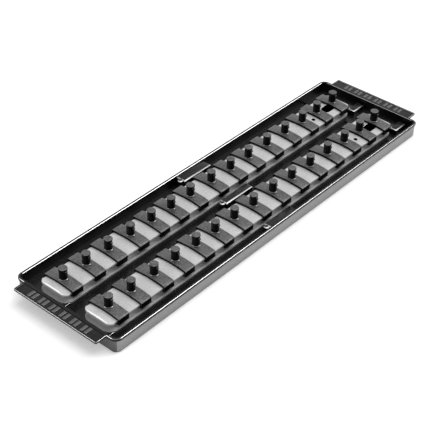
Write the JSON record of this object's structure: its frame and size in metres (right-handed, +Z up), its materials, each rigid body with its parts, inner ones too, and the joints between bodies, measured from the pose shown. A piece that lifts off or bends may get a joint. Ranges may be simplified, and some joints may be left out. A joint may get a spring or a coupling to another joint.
{
  "type": "socket organizer drawer box",
  "caption": "Long shallow tray with end tabs, holding lift-out rails whose sliding clips carry upright posts for drive sockets.",
  "frame": {"origin": "middle of the tray's underside", "axes": "+X across the tray, +Y along it towards the end with the locks behind the rails, +Z up"},
  "size_m": [0.1198, 0.458, 0.0295],
  "materials": {
    "tray": "black satin moulded plastic",
    "rail": "light grey satin moulded plastic",
    "clip": "black satin moulded plastic"
  },
  "bodies": {
    "tray": {"tray": "tray"},
    "rail_left": {"rail_left": "rail"},
    "rail_right": {"rail_right": "rail"},
    "clip_left_01": {"clip_left_01": "clip"},
    "clip_left_02": {"clip_left_02": "clip"},
    "clip_left_03": {"clip_left_03": "clip"},
    "clip_left_04": {"clip_left_04": "clip"},
    "clip_left_05": {"clip_left_05": "clip"},
    "clip_left_06": {"clip_left_06": "clip"},
    "clip_left_07": {"clip_left_07": "clip"},
    "clip_left_08": {"clip_left_08": "clip"},
    "clip_left_09": {"clip_left_09": "clip"},
    "clip_left_10": {"clip_left_10": "clip"},
    "clip_left_11": {"clip_left_11": "clip"},
    "clip_left_12": {"clip_left_12": "clip"},
    "clip_left_13": {"clip_left_13": "clip"},
    "clip_left_14": {"clip_left_14": "clip"},
    "clip_left_15": {"clip_left_15": "clip"},
    "clip_right_01": {"clip_right_01": "clip"},
    "clip_right_02": {"clip_right_02": "clip"},
    "clip_right_03": {"clip_right_03": "clip"},
    "clip_right_04": {"clip_right_04": "clip"},
    "clip_right_05": {"clip_right_05": "clip"},
    "clip_right_06": {"clip_right_06": "clip"},
    "clip_right_07": {"clip_right_07": "clip"},
    "clip_right_08": {"clip_right_08": "clip"},
    "clip_right_09": {"clip_right_09": "clip"},
    "clip_right_10": {"clip_right_10": "clip"},
    "clip_right_11": {"clip_right_11": "clip"},
    "clip_right_12": {"clip_right_12": "clip"},
    "clip_right_13": {"clip_right_13": "clip"},
    "clip_right_14": {"clip_right_14": "clip"},
    "clip_right_15": {"clip_right_15": "clip"}
  },
  "joints": [
    {"name": "rail_left_lift", "type": "slide", "parent": "tray", "child": "rail_left", "axis": [0, 0, 1], "range_m": [0, 0.04]},
    {"name": "rail_right_lift", "type": "slide", "parent": "tray", "child": "rail_right", "axis": [0, 0, 1], "range_m": [0, 0.04]},
    {"name": "clip_left_01_slide", "type": "slide", "parent": "rail_left", "child": "clip_left_01", "axis": [0, 1, 0], "range_m": [-0.002, 0.00721]},
    {"name": "clip_left_02_slide", "type": "slide", "parent": "rail_left", "child": "clip_left_02", "axis": [0, 1, 0], "range_m": [-0.00721, 0.00708]},
    {"name": "clip_left_03_slide", "type": "slide", "parent": "rail_left", "child": "clip_left_03", "axis": [0, 1, 0], "range_m": [-0.00708, 0.00762]},
    {"name": "clip_left_04_slide", "type": "slide", "parent": "rail_left", "child": "clip_left_04", "axis": [0, 1, 0], "range_m": [-0.00762, 0.00721]},
    {"name": "clip_left_05_slide", "type": "slide", "parent": "rail_left", "child": "clip_left_05", "axis": [0, 1, 0], "range_m": [-0.00721, 0.00681]},
    {"name": "clip_left_06_slide", "type": "slide", "parent": "rail_left", "child": "clip_left_06", "axis": [0, 1, 0], "range_m": [-0.00681, 0.00694]},
    {"name": "clip_left_07_slide", "type": "slide", "parent": "rail_left", "child": "clip_left_07", "axis": [0, 1, 0], "range_m": [-0.00694, 0.00843]},
    {"name": "clip_left_08_slide", "type": "slide", "parent": "rail_left", "child": "clip_left_08", "axis": [0, 1, 0], "range_m": [-0.00843, 0.00776]},
    {"name": "clip_left_09_slide", "type": "slide", "parent": "rail_left", "child": "clip_left_09", "axis": [0, 1, 0], "range_m": [-0.00776, 0.00708]},
    {"name": "clip_left_10_slide", "type": "slide", "parent": "rail_left", "child": "clip_left_10", "axis": [0, 1, 0], "range_m": [-0.00708, 0.00802]},
    {"name": "clip_left_11_slide", "type": "slide", "parent": "rail_left", "child": "clip_left_11", "axis": [0, 1, 0], "range_m": [-0.00802, 0.00803]},
    {"name": "clip_left_12_slide", "type": "slide", "parent": "rail_left", "child": "clip_left_12", "axis": [0, 1, 0], "range_m": [-0.00803, 0.00803]},
    {"name": "clip_left_13_slide", "type": "slide", "parent": "rail_left", "child": "clip_left_13", "axis": [0, 1, 0], "range_m": [-0.00803, 0.00573]},
    {"name": "clip_left_14_slide", "type": "slide", "parent": "rail_left", "child": "clip_left_14", "axis": [0, 1, 0], "range_m": [-0.00573, 0.00722]},
    {"name": "clip_left_15_slide", "type": "slide", "parent": "rail_left", "child": "clip_left_15", "axis": [0, 1, 0], "range_m": [-0.00722, 0.0004]},
    {"name": "clip_right_01_slide", "type": "slide", "parent": "rail_right", "child": "clip_right_01", "axis": [0, 1, 0], "range_m": [-0.002, 0.00708]},
    {"name": "clip_right_02_slide", "type": "slide", "parent": "rail_right", "child": "clip_right_02", "axis": [0, 1, 0], "range_m": [-0.00708, 0.00776]},
    {"name": "clip_right_03_slide", "type": "slide", "parent": "rail_right", "child": "clip_right_03", "axis": [0, 1, 0], "range_m": [-0.00776, 0.00708]},
    {"name": "clip_right_04_slide", "type": "slide", "parent": "rail_right", "child": "clip_right_04", "axis": [0, 1, 0], "range_m": [-0.00708, 0.00722]},
    {"name": "clip_right_05_slide", "type": "slide", "parent": "rail_right", "child": "clip_right_05", "axis": [0, 1, 0], "range_m": [-0.00722, 0.00668]},
    {"name": "clip_right_06_slide", "type": "slide", "parent": "rail_right", "child": "clip_right_06", "axis": [0, 1, 0], "range_m": [-0.00668, 0.00694]},
    {"name": "clip_right_07_slide", "type": "slide", "parent": "rail_right", "child": "clip_right_07", "axis": [0, 1, 0], "range_m": [-0.00694, 0.00735]},
    {"name": "clip_right_08_slide", "type": "slide", "parent": "rail_right", "child": "clip_right_08", "axis": [0, 1, 0], "range_m": [-0.00735, 0.00802]},
    {"name": "clip_right_09_slide", "type": "slide", "parent": "rail_right", "child": "clip_right_09", "axis": [0, 1, 0], "range_m": [-0.00802, 0.00802]},
    {"name": "clip_right_10_slide", "type": "slide", "parent": "rail_right", "child": "clip_right_10", "axis": [0, 1, 0], "range_m": [-0.00802, 0.00802]},
    {"name": "clip_right_11_slide", "type": "slide", "parent": "rail_right", "child": "clip_right_11", "axis": [0, 1, 0], "range_m": [-0.00802, 0.00762]},
    {"name": "clip_right_12_slide", "type": "slide", "parent": "rail_right", "child": "clip_right_12", "axis": [0, 1, 0], "range_m": [-0.00762, 0.00775]},
    {"name": "clip_right_13_slide", "type": "slide", "parent": "rail_right", "child": "clip_right_13", "axis": [0, 1, 0], "range_m": [-0.00775, 0.00668]},
    {"name": "clip_right_14_slide", "type": "slide", "parent": "rail_right", "child": "clip_right_14", "axis": [0, 1, 0], "range_m": [-0.00668, 0.00641]},
    {"name": "clip_right_15_slide", "type": "slide", "parent": "rail_right", "child": "clip_right_15", "axis": [0, 1, 0], "range_m": [-0.00641, 0.0004]}
  ]
}
